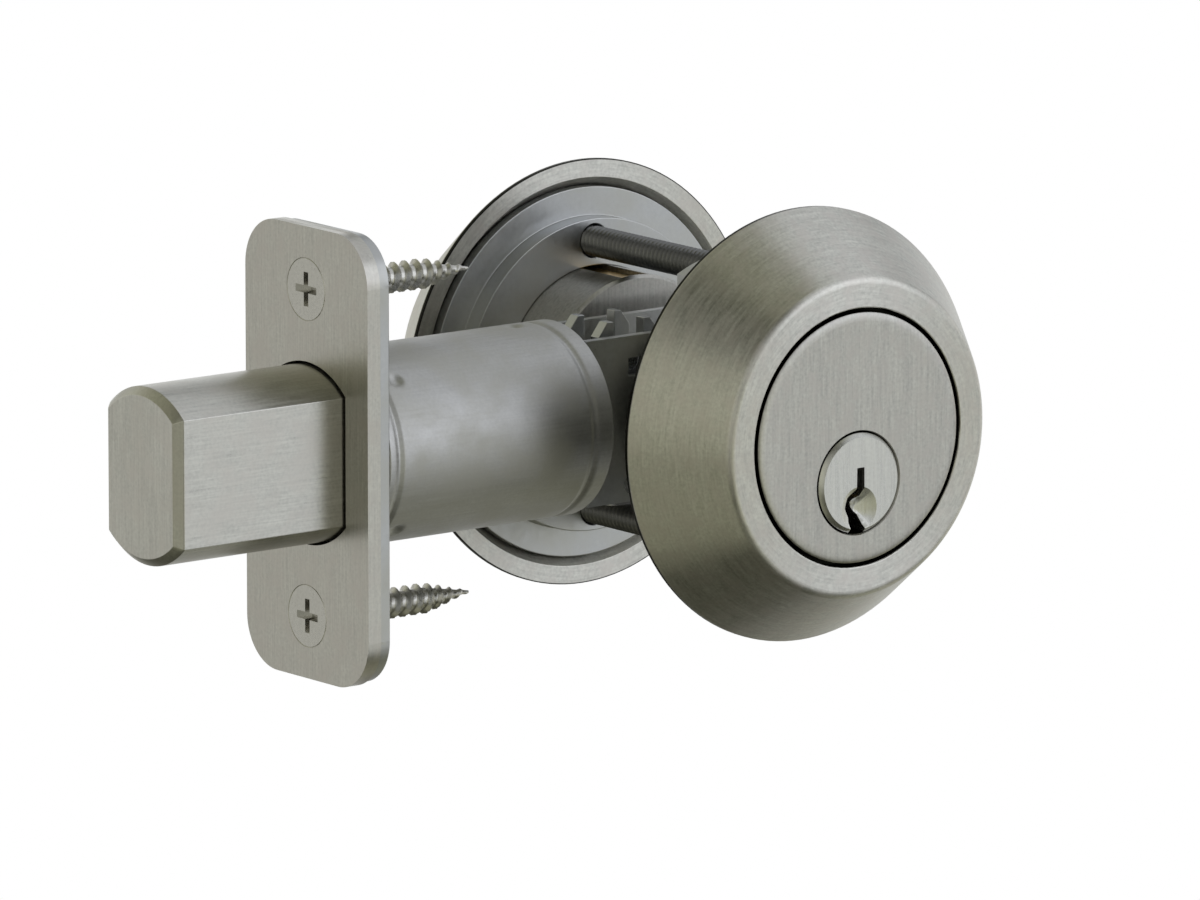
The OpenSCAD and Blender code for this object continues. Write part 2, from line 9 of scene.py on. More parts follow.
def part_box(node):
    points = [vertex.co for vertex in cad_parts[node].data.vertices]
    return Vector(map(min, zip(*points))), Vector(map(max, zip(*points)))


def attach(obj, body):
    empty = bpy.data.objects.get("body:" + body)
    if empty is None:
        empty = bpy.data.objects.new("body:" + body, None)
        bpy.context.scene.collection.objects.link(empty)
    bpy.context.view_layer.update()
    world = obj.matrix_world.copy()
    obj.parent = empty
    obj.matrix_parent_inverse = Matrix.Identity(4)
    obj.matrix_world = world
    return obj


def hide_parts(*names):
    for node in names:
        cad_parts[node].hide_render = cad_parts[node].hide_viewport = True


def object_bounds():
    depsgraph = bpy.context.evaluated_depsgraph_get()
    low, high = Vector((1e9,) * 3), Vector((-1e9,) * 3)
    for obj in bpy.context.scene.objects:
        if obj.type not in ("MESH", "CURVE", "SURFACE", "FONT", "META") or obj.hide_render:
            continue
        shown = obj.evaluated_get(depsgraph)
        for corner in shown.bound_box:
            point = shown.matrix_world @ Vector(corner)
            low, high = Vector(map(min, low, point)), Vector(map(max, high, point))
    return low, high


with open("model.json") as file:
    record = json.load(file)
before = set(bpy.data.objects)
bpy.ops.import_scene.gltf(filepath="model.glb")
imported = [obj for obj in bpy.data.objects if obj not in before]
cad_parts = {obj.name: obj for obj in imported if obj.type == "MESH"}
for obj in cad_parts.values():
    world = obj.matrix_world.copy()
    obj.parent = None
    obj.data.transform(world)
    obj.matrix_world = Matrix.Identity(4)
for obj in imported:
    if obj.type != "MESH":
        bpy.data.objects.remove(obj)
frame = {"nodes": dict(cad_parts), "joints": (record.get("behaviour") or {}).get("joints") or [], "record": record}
cad_low, cad_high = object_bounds()

MM = 0.001

# ---------- places taken from the frame ----------

record = frame["record"]
joints = {j["name"]: j for j in frame["joints"]}
body_of = {node: body for body, nodes in record["behaviour"]["bodies"].items() for node in nodes}

outside_plug_axis = Vector(joints["outside_plug_turn"]["pos_m"])
mid_y = joints["crank_turn"]["pos_m"][1]
door_t = 2 * mid_y


# ---------- node trees ----------

class Tree:
    """Short calls for building a shader tree.

    The mix node's sockets go by number, because several of them share a name."""

    def __init__(self, owner):
        owner.use_nodes = True
        self.nodes = owner.node_tree.nodes
        self.links = owner.node_tree.links
        self.nodes.clear()

    def add(self, kind, **values):
        node = self.nodes.new(kind)
        for name, value in values.items():
            setattr(node, name, value)
        return node

    def put(self, socket, value):
        if isinstance(value, bpy.types.NodeSocket):
            self.links.new(value, socket)
        elif value is not None:
            socket.default_value = value

    def math(self, operation, a, b=None, clamp=False):
        node = self.add("ShaderNodeMath", operation=operation, use_clamp=clamp)
        self.put(node.inputs[0], a)
        self.put(node.inputs[1], b)
        return node.outputs[0]

    def vector(self, operation, a, b=None):
        node = self.add("ShaderNodeVectorMath", operation=operation)
        self.put(node.inputs[0], a)
        self.put(node.inputs[1], b)
        return node.outputs["Value" if operation in ("DOT_PRODUCT", "LENGTH") else "Vector"]

    def spread(self, value, low, high, to_low=0.0, to_high=1.0, smooth=False):
        node = self.add("ShaderNodeMapRange", clamp=True)
        node.interpolation_type = "SMOOTHSTEP" if smooth else "LINEAR"
        for socket, number in zip(node.inputs[:5], (value, low, high, to_low, to_high)):
            self.put(socket, number)
        return node.outputs[0]

    def join(self, x, y, z):
        node = self.add("ShaderNodeCombineXYZ")
        for socket, value in zip(node.inputs, (x, y, z)):
            self.put(socket, value)
        return node.outputs[0]

    def noise(self, vector, scale, detail=2.0, rough=0.5, w=None):
        node = self.add("ShaderNodeTexNoise", noise_dimensions="3D" if w is None else "4D")
        self.put(node.inputs["Vector"], vector)
        if w is not None:
            self.put(node.inputs["W"], w)
        self.put(node.inputs["Scale"], scale)
        self.put(node.inputs["Detail"], detail)
        self.put(node.inputs["Roughness"], rough)
        return node.outputs[0]

    def mix(self, factor, a, b):
        node = self.add("ShaderNodeMix", data_type="FLOAT")
        for socket, value in ((0, factor), (2, a), (3, b)):
            self.put(node.inputs[socket], value)
        return node.outputs[0]

    def blend(self, factor, a, b):
        node = self.add("ShaderNodeMix", data_type="RGBA")
        self.put(node.inputs[0], factor)
        self.put(node.inputs[6], (*a, 1) if isinstance(a, tuple) else a)
        self.put(node.inputs[7], (*b, 1) if isinstance(b, tuple) else b)
        return node.outputs[2]


NOISE_SCALE = 1.0
GRAIN_DETAIL = 3.0
PLAIN_DETAIL = 4.0
GRAIN_ROUGH = 0.6
# The least radius that turned grain divides by, so that it stays finite on the axis.
AXIS_GUARD = 0.2 * MM
# Noise periods in a metre of straight grain, for each unit of along.
STRAIGHT_PER_METRE = 20
# How squarely a face meets the axis, from still brushed along it to brushed across.
END_ON = (0.6, 0.8)


def grain_noise(tree, grain, centre, fine, along):
    """Noise drawn out into streaks: round an axis for turned metal, along one for brushed metal.

    fine is how close the streaks lie, and along how soon they end. Faces that brushed metal's
    axis meets end on are brushed along Z instead, or along X."""
    where = tree.add("ShaderNodeTexCoord").outputs["Object"]
    place = tree.vector("SUBTRACT", where, tuple(centre))
    split = tree.add("ShaderNodeSeparateXYZ")
    tree.put(split.inputs[0], place)
    axes = {"X": split.outputs[0], "Y": split.outputs[1], "Z": split.outputs[2]}
    if grain.startswith("turned"):
        axis = grain[-1]
        a, b = [axes[k] for k in "XYZ" if k != axis]
        reach = tree.vector("LENGTH", tree.join(a, b, 0.0))
        safe = tree.math("MAXIMUM", reach, AXIS_GUARD)
        turn_a = tree.math("MULTIPLY", tree.math("DIVIDE", a, safe), along)
        turn_b = tree.math("MULTIPLY", tree.math("DIVIDE", b, safe), along)
        vector = tree.join(tree.math("MULTIPLY", reach, fine),
                           tree.math("MULTIPLY", axes[axis], fine), turn_a)
        return tree.noise(vector, NOISE_SCALE, GRAIN_DETAIL, GRAIN_ROUGH, w=turn_b), place
    if grain.startswith("straight"):
        axis = grain[-1]
        other = "Z" if axis != "Z" else "X"
        streaks = []
        for run in (axis, other):
            scales = {k: along * STRAIGHT_PER_METRE if k == run else fine for k in "XYZ"}
            parts = [tree.math("MULTIPLY", axes[k], scales[k]) for k in "XYZ"]
            streaks.append(tree.noise(tree.join(*parts), NOISE_SCALE, GRAIN_DETAIL, GRAIN_ROUGH))
        normal = tree.add("ShaderNodeSeparateXYZ")
        tree.put(normal.inputs[0], tree.add("ShaderNodeTexCoord").outputs["Normal"])
        end_on = tree.spread(tree.math("ABSOLUTE", normal.outputs["XYZ".index(axis)]), *END_ON)
        return tree.mix(end_on, *streaks), place
    return tree.noise(place, fine, PLAIN_DETAIL, GRAIN_ROUGH), place


# How far the painted shade of a ring fades out past its edges.
PAINTED_SHADE_EDGE = 0.1 * MM


def painted_shade_ring(tree, point, low_r, high_r, low_y, high_y):
    """Mask of painted shade: one inside a ring round an axis along Y, zero outside it."""
    where = tree.add("ShaderNodeTexCoord").outputs["Object"]
    place = tree.vector("SUBTRACT", where, tuple(point))
    split = tree.add("ShaderNodeSeparateXYZ")
    tree.put(split.inputs[0], place)
    reach = tree.vector("LENGTH", tree.join(split.outputs[0], 0.0, split.outputs[2]))
    ring = tree.math("MULTIPLY", tree.spread(reach, low_r - PAINTED_SHADE_EDGE, low_r),
                     tree.spread(reach, high_r + PAINTED_SHADE_EDGE, high_r))
    deep = tree.math("MULTIPLY", tree.spread(split.outputs[1], low_y - PAINTED_SHADE_EDGE, low_y),
                     tree.spread(split.outputs[1], high_y + PAINTED_SHADE_EDGE, high_y))
    return tree.math("MULTIPLY", ring, deep)


# Each span holds the two noise values between which a look goes from one end to the other.
SHADE_SPAN = (0.25, 0.75)
STREAK_SPAN = (0.3, 0.7)
SMUDGE_SPAN = (0.35, 0.65)
TINT_SPAN = (0.42, 0.66)
TINT_MOST = 0.6
STREAK_ROUGH = 0.05
BROAD_DETAIL = 3.0
BROAD_ROUGH = 0.55
FLECK_SCALE = 2400
FLECK_DETAIL = 1.0
FLECK_ROUGH = 0.5
QUARTER_TURN = 0.25
# Near black, painted on as the shade inside narrow clearances.
PAINTED_SHADE_COLOUR = (0.012, 0.012, 0.009)


def metal(name, colour, roughness, grain="none", centre=(0, 0, 0), *, fine, depth, contrast,
          along=6.0, anisotropy=0.0, smudge=0.06, tint=None, tint_scale=90.0, flecks=0.0, painted_shade_rings=()):
    """Satin metal: streaked grain in colour, roughness and bump, with broad handling marks.

    depth is the bump's, in millimetres. contrast is how far the colour goes to either side, and
    smudge how far the roughness does in broad patches. tint is a second colour in such patches.
    flecks adds small spots of light and shade that have no direction, as blasted metal has.

    Each ring of painted shade is a band of radius round an axis along Y, and of depth, painted near
    black to stand in for the shade in a narrow clearance. It is (axis point, low radius, high radius, low y, high
    y)."""
    material = bpy.data.materials.new(name)
    tree = Tree(material)
    streaks, place = grain_noise(tree, grain, centre, fine, along)
    broad = tree.noise(place, tint_scale, BROAD_DETAIL, BROAD_ROUGH)
    shader = tree.add("ShaderNodeBsdfPrincipled")
    shader.inputs["Metallic"].default_value = 1.0
    shader.inputs["Anisotropic"].default_value = anisotropy
    dark = tuple(c * (1 - contrast) for c in colour)
    light = tuple(min(1.0, c * (1 + contrast)) for c in colour)
    shade = streaks
    if flecks:
        speck = tree.noise(place, FLECK_SCALE, FLECK_DETAIL, FLECK_ROUGH)
        shade = tree.math("ADD", streaks, tree.spread(speck, *STREAK_SPAN, -flecks, flecks))
    base = tree.blend(tree.spread(shade, *SHADE_SPAN), dark, light)
    if tint:
        base = tree.blend(tree.spread(broad, *TINT_SPAN, 0.0, TINT_MOST), base, tint)
    # Paints shade near black into each ring of clearance.
    for shade_ring in painted_shade_rings:
        base = tree.blend(painted_shade_ring(tree, *shade_ring), base, PAINTED_SHADE_COLOUR)
    tree.put(shader.inputs["Base Color"], base)
    in_streaks = tree.spread(streaks, *STREAK_SPAN, roughness - STREAK_ROUGH,
                             roughness + STREAK_ROUGH)
    rough = tree.math("ADD", in_streaks, tree.spread(broad, *SMUDGE_SPAN, -smudge, smudge),
                      clamp=True)
    tree.put(shader.inputs["Roughness"], rough)
    if anisotropy and grain != "none":
        tangent = tree.add("ShaderNodeTangent", direction_type="RADIAL", axis=grain[-1])
        tree.put(shader.inputs["Tangent"], tangent.outputs[0])
        turn = QUARTER_TURN if grain.startswith("turned") else 0.0
        shader.inputs["Anisotropic Rotation"].default_value = turn
    bump = tree.add("ShaderNodeBump")
    bump.inputs["Strength"].default_value = 1.0
    bump.inputs["Distance"].default_value = depth * MM
    tree.put(bump.inputs["Height"], streaks)
    tree.put(shader.inputs["Normal"], bump.outputs[0])
    output = tree.add("ShaderNodeOutputMaterial")
    tree.put(output.inputs[0], shader.outputs[0])
    return material


HOLE_R = 16.9 * MM
FACE_R = 15.75 * MM
PLUG_R = 6.35 * MM
RIM_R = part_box("outside_collar")[1].z


def both_sides(low_r, high_r, start, end, off_axis=False):
    """The same ring of painted shade in both trims, from start to end behind the foremost face of each."""
    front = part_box("outside_collar")[0][1]
    point = outside_plug_axis if off_axis else Vector((0, 0, 0))
    outside = (point, low_r, high_r, front + start, front + end)
    mirrored = (point, low_r, high_r, door_t - front - end, door_t - front - start)
    return [outside, mirrored]


# Painted shade on the wall of the collar's hole, and a thin painted shadow line at the foot of its cone.
COLLAR_HOLE_PAINTED_SHADE = both_sides(0.0, HOLE_R, 0.3 * MM, 11 * MM)
COLLAR_FOOT_PAINTED_SHADOW = both_sides(RIM_R - 0.1 * MM, RIM_R + 1 * MM, 11.45 * MM, 12 * MM)
# Painted shade on the side of the disc, and on the wall of the plug's hole in it.
FACE_PAINTED_SHADE = (both_sides(FACE_R, HOLE_R, 0.12 * MM, 4 * MM)
             + both_sides(0.0, PLUG_R + 0.15 * MM, 0.2 * MM, 30 * MM, off_axis=True))
# Painted shade on the side of the plug.
PLUG_PAINTED_SHADE = both_sides(PLUG_R - 0.06 * MM, PLUG_R + 0.2 * MM, 0.1 * MM, 20 * MM, off_axis=True)

collar_nickel = metal("collar_nickel", (0.64, 0.635, 0.595), 0.34, "turnedY", fine=2700, along=6,
                      depth=0.0012, contrast=0.18, flecks=0.12, anisotropy=0.75,
                      tint=(0.66, 0.625, 0.59), tint_scale=420, smudge=0.015,
                      painted_shade_rings=COLLAR_HOLE_PAINTED_SHADE + COLLAR_FOOT_PAINTED_SHADOW)
face_nickel = metal("face_nickel", (0.56, 0.555, 0.53), 0.36, "straightZ", fine=2700, along=8,
                    depth=0.0012, contrast=0.18, flecks=0.12, anisotropy=0.5,
                    tint=(0.585, 0.56, 0.54), tint_scale=700, smudge=0.015, painted_shade_rings=FACE_PAINTED_SHADE)
plug_nickel = metal("plug_nickel", (0.68, 0.68, 0.65), 0.3, "straightZ", centre=outside_plug_axis,
                    fine=4200, along=8, depth=0.001, contrast=0.1, flecks=0.1, anisotropy=0.3,
                    smudge=0.015, painted_shade_rings=PLUG_PAINTED_SHADE)
bolt_nickel = metal("bolt_nickel", (0.60, 0.595, 0.56), 0.33, "straightX", fine=2900, along=8,
                    depth=0.0006, contrast=0.15, flecks=0.1, anisotropy=0.5, smudge=0.015,
                    tint=(0.615, 0.59, 0.555), tint_scale=300)
plate_nickel = metal("plate_nickel", (0.60, 0.59, 0.555), 0.35, "straightZ", fine=3000, along=8,
                     depth=0.0008, contrast=0.15, flecks=0.1, anisotropy=0.5, smudge=0.015,
                     tint=(0.615, 0.585, 0.555), tint_scale=300)
screw_nickel = metal("screw_nickel", (0.62, 0.61, 0.58), 0.3, fine=2500, depth=0.0015,
                     contrast=0.1)
zinc = metal("zinc_plate", (0.52, 0.53, 0.54), 0.38, fine=1400, depth=0.005, contrast=0.08,
             tint=(0.55, 0.545, 0.50))
tube_zinc = metal("tube_zinc_plate", (0.54, 0.54, 0.54), 0.5, "straightX", fine=3000, along=6,
                  depth=0.004, contrast=0.1, flecks=0.1, anisotropy=0.3, tint=(0.55, 0.545, 0.51),
                  tint_scale=160)
cast = metal("cast_zinc", (0.38, 0.385, 0.39), 0.5, fine=2200, depth=0.03, contrast=0.12)
hardened = metal("hardened_steel", (0.42, 0.43, 0.44), 0.26, fine=3000, depth=0.004,
                 contrast=0.08)
black_steel = metal("black_oxide_steel", (0.19, 0.19, 0.19), 0.32, fine=2600, depth=0.003,
                    contrast=0.15)
spring_wire = metal("spring_steel", (0.34, 0.34, 0.35), 0.3, fine=2600, depth=0.004, contrast=0.12)
brass = metal("turned_brass", (0.72, 0.52, 0.24), 0.28, "turnedZ", fine=7000, along=3,
              depth=0.004, contrast=0.08)

# Each row is (material, width of the machined edges in millimetres, nodes).
CAD_FINISH = [
    (collar_nickel, 0.12, ["outside_collar", "inside_collar"]),
    (face_nickel, 0.05, ["outside_cylinder_housing", "inside_cylinder_housing"]),
    (plug_nickel, 0.06, ["outside_plug", "inside_plug"]),
    (bolt_nickel, 0.25, ["bolt_head"]),
    (plate_nickel, 0.2, ["faceplate"]),
    (zinc, 0.12, ["outside_guard_ring", "outside_bracket", "inside_mounting_plate", "back_plate",
                  "outside_case_plate", "inside_case_plate", "case_block", "bolt_tail"]),
    (cast, 0.15, ["outside_driver", "inside_driver", "bolt_hub"]),
    (hardened, 0.06, ["outside_anti_drill_pins", "inside_anti_drill_pins", "anti_saw_roller",
                      "roller_plug", "crank_pin", "tail_rivets", "case_rivets", "tailpiece"]),
    (black_steel, 0.06, ["outside_driver_screws", "inside_driver_screws", "bracket_screws",
                         "collar_set_screw"]),
    (spring_wire, 0.05, ["outside_spring_washer", "inside_retaining_ring"]),
    (brass, 0.05, ["outside_driver_pins", "inside_driver_pins", "outside_key_pins",
                   "inside_key_pins", "outside_chamber_cap", "inside_chamber_cap"]),
]


WELD_REACH = 0.002 * MM
FLAT_WITHIN = math.radians(0.3)
EDGE_OVER = math.radians(25)


def soften(node, material, width):
    """Gives a CAD node its material and small machined edges. The mesh itself stays."""
    obj = frame["nodes"][node]
    obj.data.materials.clear()
    obj.data.materials.append(material)
    weld = obj.modifiers.new("weld", "WELD")
    weld.merge_threshold = WELD_REACH
    flat = obj.modifiers.new("flat", "DECIMATE")
    flat.decimate_type = "DISSOLVE"
    flat.angle_limit = FLAT_WITHIN
    bevel = obj.modifiers.new("edges", "BEVEL")
    bevel.width = width * MM
    bevel.segments = 2
    bevel.limit_method = "ANGLE"
    bevel.angle_limit = EDGE_OVER
    bevel.use_clamp_overlap = True
    normals = obj.modifiers.new("normals", "WEIGHTED_NORMAL")
    normals.keep_sharp = True


for material, width, names in CAD_FINISH:
    for node in names:
        soften(node, material, width)


# ---------- pieces built here in place of plain CAD nodes ----------

ALONG_X = Matrix.Rotation(math.radians(90), 4, "Y")
ALONG_Y = Matrix.Rotation(math.radians(-90), 4, "X")
UPSIDE_DOWN = Matrix.Rotation(math.radians(180), 4, "X")
SHARP_OVER = math.radians(38)


def take_place(name, mesh, material, node):
    """Shows a mesh in place of a CAD node, on that node's body and in the given material."""
    mesh.materials.clear()
    mesh.materials.append(material)
    mesh.shade_smooth()
    mesh.set_sharp_from_angle(angle=SHARP_OVER)
    obj = bpy.data.objects.new(name, mesh)
    bpy.context.scene.collection.objects.link(obj)
    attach(obj, body_of[node])
    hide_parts(node)
    return obj


def finished(bm, name):
    """The mesh of a bmesh, which is freed."""
    mesh = bpy.data.meshes.new(name)
    bm.to_mesh(mesh)
    bm.free()
    return mesh


def circle(bm, sides, radius, z):
    """A ring of vertices round Z at one height. radius(height, angle) gives the distance."""
    ring = []
    for i in range(sides):
        angle = 2 * math.pi * i / sides
        r = radius(z, angle)
        ring.append(bm.verts.new((r * math.cos(angle), r * math.sin(angle), z)))
    return ring


def copies(name, mesh, places):
    """One mesh that holds a copy of another at each place."""
    bm = bmesh.new()
    for place in places:
        old = len(bm.verts)
        bm.from_mesh(mesh)
        bm.verts.ensure_lookup_table()
        bmesh.ops.transform(bm, matrix=place, verts=bm.verts[old:])
    return finished(bm, name)


def skin(bm, rings, closed_ends=True):
    """Joins rings of vertices, each closed on itself, into a surface that faces outwards."""
    count = len(rings[0])
    for low, high in zip(rings, rings[1:]):
        for i in range(count):
            j = (i + 1) % count
            bm.faces.new((low[i], low[j], high[j], high[i]))
    if closed_ends:
        bm.faces.new(list(reversed(rings[0])))
        bm.faces.new(rings[-1])


def turned_solid(name, heights, sides, radius):
    """A closed solid turned about Z. radius(height, angle) may follow a thread."""
    bm = bmesh.new()
    skin(bm, [circle(bm, sides, radius, z) for z in heights])
    return finished(bm, name)


def ramp(value, low, high):
    """Smooth step from 0 at low to 1 at high."""
    t = min(1.0, max(0.0, (value - low) / (high - low)))
    return t * t * (3 - 2 * t)


def along(points, height):
    """Straight-line value at a height in a list of (height, value)."""
    for (z0, v0), (z1, v1) in zip(points, points[1:]):
        if height <= z1:
            return v0 + (v1 - v0) * (height - z0) / (z1 - z0)
    return points[-1][1]


RECESS_OVER = 0.2 * MM


def cross_recess(top, width, arm, depth):
    """The plus-shaped hole of a cross-head screw. It narrows downwards from the top."""
    bm = bmesh.new()
    rings = []
    floor_scale, middle_scale, mouth_scale, middle_down = 0.45, 0.8, 1.05, 0.35
    levels = ((top - depth, floor_scale), (top - middle_down * depth, middle_scale),
              (top + RECESS_OVER, mouth_scale))
    for z, scale in levels:
        a, b = arm / 2 * (1 + scale) / 2, width / 2 * scale
        corner = [(b, -a), (b, a), (a, a), (a, b), (-a, b), (-a, a),
                  (-b, a), (-b, -a), (-a, -a), (-a, -b), (a, -b), (a, -a)]
        rings.append([bm.verts.new((x, y, z)) for x, y in corner])
    skin(bm, rings)
    return finished(bm, "recess")


def cut(mesh, tool):
    """The first mesh less the second."""
    pair = [bpy.data.objects.new("cut", m) for m in (mesh, tool)]
    for obj in pair:
        bpy.context.scene.collection.objects.link(obj)
    change = pair[0].modifiers.new("cut", "BOOLEAN")
    change.operation = "DIFFERENCE"
    change.solver = "EXACT"
    change.object = pair[1]
    graph = bpy.context.evaluated_depsgraph_get()
    result = bpy.data.meshes.new_from_object(pair[0].evaluated_get(graph))
    for obj in pair:
        bpy.data.objects.remove(obj)
    return result


def steps(start, end, step):
    """Even heights from start to end."""
    count = max(1, round((end - start) / step))
    return [start + (end - start) * i / count for i in range(count + 1)]


SCREW_SIDES = 28


def mounting_screws():
    """Two long machine screws with cheese heads and a rolled thread from end to end."""
    low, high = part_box("mounting_screws")
    head_r, head_h, shank_r = 2.95 * MM, 2.2 * MM, 2.0 * MM
    pitch, thread_depth, edge = 0.8 * MM, 0.45 * MM, 0.45 * MM
    flank, crest, edge_round = 1.25, 0.125, 0.98
    head_step, head_under, head_rows = 0.001 * MM, 0.2 * MM, 5
    per_pitch = 8
    run_out_from, run_out_to = 0.5 * MM, 1.6 * MM
    point_depth, point_h = 0.5 * MM, 0.8 * MM
    recess_w, recess_arm, recess_depth = 3.4 * MM, 0.85 * MM, 1.3 * MM
    length = high.y - low.y
    neck = length - head_h

    def radius(z, angle):
        if z > neck:
            rounded = max(0.0, z - (length - edge)) / edge
            return head_r - edge * (1 - math.sqrt(1 - rounded ** 2 * edge_round))
        phase = (z / pitch - angle / (2 * math.pi)) % 1
        groove = min(1.0, max(0.0, (1 - abs(2 * phase - 1)) * flank - crest))
        fade = ramp(neck - z, run_out_from, run_out_to)
        point = point_depth * (1 - ramp(z, 0.0, point_h))
        return shank_r - thread_depth * groove * fade - point

    heights = steps(0.0, neck, pitch / per_pitch) + [neck + head_step, neck + head_under]
    heights += steps(length - edge, length, edge / head_rows)
    screw = turned_solid("screw", heights, SCREW_SIDES, radius)
    screw = cut(screw, cross_recess(length, recess_w, recess_arm, recess_depth))
    axis_z = high.z - head_r
    places = [Matrix.Translation((0, low.y, side * axis_z)) @ ALONG_Y for side in (-1, 1)]
    take_place("mounting_screws_threaded", copies("mounting_screws", screw, places), black_steel,
               "mounting_screws")


def faceplate_screws():
    """Two flush wood screws: countersunk cross head, plain neck, coarse thread, gimlet point."""
    low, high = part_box("faceplate_screws")
    length = high.x - low.x
    head_r, head_h, neck_r, neck = 4.0 * MM, 1.9 * MM, 2.2 * MM, 4.0 * MM
    crest_r, root_r, pitch, taper = 2.0 * MM, 1.35 * MM, 1.7 * MM, 7.0 * MM
    edge, tip_r, neck_fall = 0.12 * MM, 0.12 * MM, 0.6 * MM
    start_from, start_to = neck + 0.4 * MM, neck + 2.0 * MM
    ridge_slope, ridge_at_point, per_pitch = 3.4, 0.25, 14
    cone_from, cone_row, neck_row = 0.3 * MM, 0.2 * MM, 0.3 * MM
    recess_w, recess_arm, recess_depth = 4.4 * MM, 0.95 * MM, 1.5 * MM
    outline = [(0.0, head_r - edge), (edge, head_r), (head_h, neck_r), (neck, neck_r),
               (neck + neck_fall, root_r), (length - taper, root_r), (length, tip_r)]

    def radius(z, angle):
        core = along(outline, z)
        if z < neck:
            return core
        phase = (z / pitch + angle / (2 * math.pi)) % 1
        ridge = max(0.0, 1 - ridge_slope * abs(phase - 0.5))
        start = ramp(z, start_from, start_to)
        finish = ridge_at_point + (1 - ridge_at_point) * ramp(length - z, 0.0, taper)
        return core + (crest_r - root_r) * ridge * start * finish

    heights = [0.0, edge / 2, edge] + steps(cone_from, head_h, cone_row)
    heights += steps(head_h + cone_row, neck, neck_row)[:-1]
    heights += steps(neck, length, pitch / per_pitch)
    screw = turned_solid("wood_screw", heights, SCREW_SIDES, radius)
    recess = cross_recess(0.0, recess_w, recess_arm, recess_depth)
    recess.transform(UPSIDE_DOWN)
    screw = cut(screw, recess)
    axis_z = high.z - head_r
    places = [Matrix.Translation((low.x, mid_y, side * axis_z)) @ ALONG_X for side in (-1, 1)]
    take_place("faceplate_screws_threaded", copies("faceplate_screws", screw, places),
               screw_nickel, "faceplate_screws")


def bolt_tube():
    """Pressed tube with a butt seam below, staking dimples and a rolled bead at each end."""
    low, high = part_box("bolt_tube")
    outer, wall, edge = high.z, 0.9 * MM, 0.25 * MM
    stake_depth, stake_flat, stake_reach = 0.42 * MM, 0.35 * MM, 1.35 * MM
    seam_depth, seam_flat, seam_reach = 0.18 * MM, 0.08 * MM, 0.3 * MM
    bead_depth, bead_flat, bead_reach = 0.22 * MM, 0.2 * MM, 0.6 * MM
    length = high.x - low.x
    sides, row_gap = 240, 0.33 * MM
    seam = math.radians(180)
    stakes = [(math.radians(a), 4.2 * MM) for a in (40, 140, 220, 320)]
    stakes += [(math.radians(a), length - 6.5 * MM) for a in (0, 180)]
    beads = (1.7 * MM, length - 3.0 * MM)

    def arc_from(angle, other):
        """Signed distance round the tube between two angles."""
        return ((angle - other + math.pi) % (2 * math.pi) - math.pi) * outer

    def dent(angle, x):
        """How far the deepest mark at one place goes in."""
        depth = 0.0
        for stake_angle, stake_x in stakes:
            reach = math.hypot(arc_from(angle, stake_angle), x - stake_x)
            depth = max(depth, stake_depth * (1 - ramp(reach, stake_flat, stake_reach)))
        off_seam = abs(arc_from(angle, seam))
        depth = max(depth, seam_depth * (1 - ramp(off_seam, seam_flat, seam_reach)))
        for bead in beads:
            depth = max(depth, bead_depth * (1 - ramp(abs(x - bead), bead_flat, bead_reach)))
        return depth

    def outside(x, angle):
        chamfer = edge * max(0.0, 1 - x / edge, 1 - (length - x) / edge)
        return outer - chamfer - dent(angle, x)

    def bore(x, angle):
        return outer - wall

    bm = bmesh.new()
    rows = [0.0] + steps(edge, length - edge, row_gap) + [length]
    rings = [circle(bm, sides, outside, x) for x in rows]
    rings += [circle(bm, sides, bore, x) for x in (length, 0.0)]
    rings.append(rings[0])
    skin(bm, rings, closed_ends=False)
    mesh = finished(bm, "bolt_tube")
    mesh.transform(Matrix.Translation((low.x, mid_y, 0)) @ UPSIDE_DOWN @ ALONG_X)
    if mesh.polygons[0].normal.dot(mesh.polygons[0].center - Vector((0, mid_y, 0))) < 0:
        mesh.flip_normals()
    take_place("bolt_tube_pressed", mesh, tube_zinc, "bolt_tube")


PIN_COUNT = 5
COIL_TURNS = 8
SPRING_WIRE_R = 0.17 * MM


def wire_coil(name, radius, wire_r, height, turns):
    """A compression spring of round wire standing on the XY plane, with closed end turns."""
    bm = bmesh.new()
    per_turn, around = 22, 8
    rings = []
    total = turns * per_turn
    rise = height - 2 * wire_r
    closed = 2 * wire_r / rise
    for k in range(total + 1):
        t = k / per_turn
        angle = 2 * math.pi * t
        if t < 1:
            climb = closed * t
        elif t > turns - 1:
            climb = 1 - closed * (turns - t)
        else:
            climb = closed + (1 - 2 * closed) * (t - 1) / (turns - 2)
        middle = Vector((radius * math.cos(angle), radius * math.sin(angle),
                         wire_r + rise * climb))
        out = Vector((math.cos(angle), math.sin(angle), 0))
        ring = []
        for s in range(around):
            a = 2 * math.pi * s / around
            ring.append(bm.verts.new(middle + wire_r * (out * math.cos(a)
                                                        + Vector((0, 0, 1)) * math.sin(a))))
        rings.append(ring)
    skin(bm, rings)
    bmesh.ops.recalc_face_normals(bm, faces=bm.faces)
    return finished(bm, name)


def pin_springs(node):
    """The driver springs of one lock cylinder."""
    low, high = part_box(node)
    outer = (high.x - low.x) / 2
    coil = wire_coil("coil", outer - SPRING_WIRE_R, SPRING_WIRE_R, high.z - low.z, COIL_TURNS)
    first, last = low.y + outer, high.y - outer
    mid_x = (low.x + high.x) / 2
    rows = [first + (last - first) * i / (PIN_COUNT - 1) for i in range(PIN_COUNT)]
    places = [Matrix.Translation((mid_x, y, low.z)) for y in rows]
    take_place(node + "_coiled", copies(node, coil, places), spring_wire, node)


